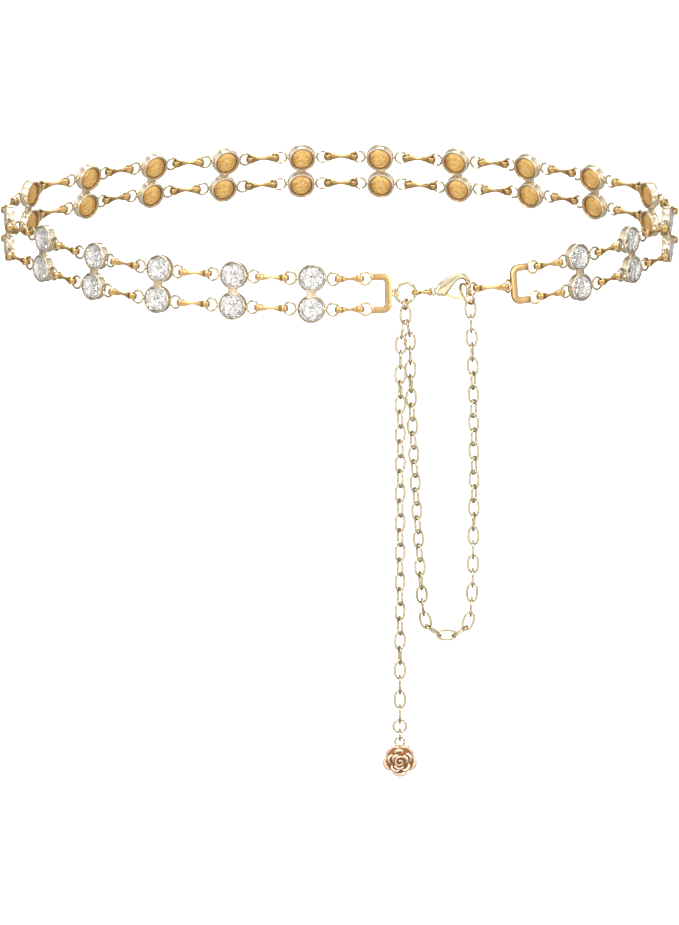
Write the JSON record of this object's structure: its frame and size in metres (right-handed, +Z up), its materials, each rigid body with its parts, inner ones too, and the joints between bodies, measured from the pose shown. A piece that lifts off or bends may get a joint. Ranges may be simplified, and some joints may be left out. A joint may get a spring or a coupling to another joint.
{
  "type": "waist chain",
  "caption": "Waist chain of round crystals in double cups on bow-shaped links, with a lever clasp, a hanging loop of cable chain and a free tail that ends in a rose.",
  "frame": {"origin": "middle of the waist opening, at the belt's mid height, where a waist holds the chain", "axes": "+X to the wearer's left, +Y to the wearer's back, +Z up"},
  "size_m": [0.2484, 0.1771, 0.1947],
  "materials": {
    "pale_gold_plate": "polished",
    "gold_plate": "polished",
    "crystal": "polished"
  },
  "bodies": {
    "chain": {"setting_01": "pale_gold_plate", "setting_02": "pale_gold_plate", "setting_03": "pale_gold_plate", "setting_04": "pale_gold_plate", "setting_05": "pale_gold_plate", "setting_06": "pale_gold_plate", "setting_07": "pale_gold_plate", "setting_08": "pale_gold_plate", "setting_09": "pale_gold_plate", "setting_10": "pale_gold_plate", "setting_11": "pale_gold_plate", "setting_12": "pale_gold_plate", "setting_13": "pale_gold_plate", "setting_14": "pale_gold_plate", "setting_15": "pale_gold_plate", "setting_16": "pale_gold_plate", "setting_17": "pale_gold_plate", "setting_18": "pale_gold_plate", "setting_19": "pale_gold_plate", "stones_01": "crystal", "stones_02": "crystal", "stones_03": "crystal", "stones_04": "crystal", "stones_05": "crystal", "stones_06": "crystal", "stones_07": "crystal", "stones_08": "crystal", "stones_09": "crystal", "stones_10": "crystal", "stones_11": "crystal", "stones_12": "crystal", "stones_13": "crystal", "stones_14": "crystal", "stones_15": "crystal", "stones_16": "crystal", "stones_17": "crystal", "stones_18": "crystal", "stones_19": "crystal", "connectors_upper": "gold_plate", "connectors_lower": "gold_plate", "end_bar_left": "gold_plate", "end_bar_right": "gold_plate", "jump_ring": "pale_gold_plate", "short_connector": "gold_plate", "clasp_body": "pale_gold_plate", "catch_ring": "gold_plate", "small_ring": "pale_gold_plate", "long_connector": "gold_plate", "hanger_ring": "gold_plate", "top_link": "gold_plate", "chain_swag": "gold_plate", "chain_tail": "gold_plate", "tail_ring": "gold_plate"},
    "lever": {"clasp_lever": "gold_plate"},
    "drop_ring": {"drop_ring": "gold_plate"},
    "rose": {"rose_pendant": "pale_gold_plate"}
  },
  "joints": [
    {"name": "lever_pivot", "type": "hinge", "parent": "chain", "child": "lever", "pos_m": [0.03795, -0.07754, -0.00033], "axis": [0.3212, -0.947, 0], "range_deg": [0, 20], "stiffness_Nm_per_rad": 0.004, "springref_deg": -17.19},
    {"name": "drop_swing", "type": "hinge", "parent": "chain", "child": "drop_ring", "pos_m": [0.02231, -0.08344, -0.16572], "axis": [1, 0, 0], "range_deg": [-25, 25]},
    {"name": "rose_swing", "type": "hinge", "parent": "drop_ring", "child": "rose", "pos_m": [0.02231, -0.08344, -0.16864], "axis": [0, 1, 0], "range_deg": [-25, 25]}
  ]
}
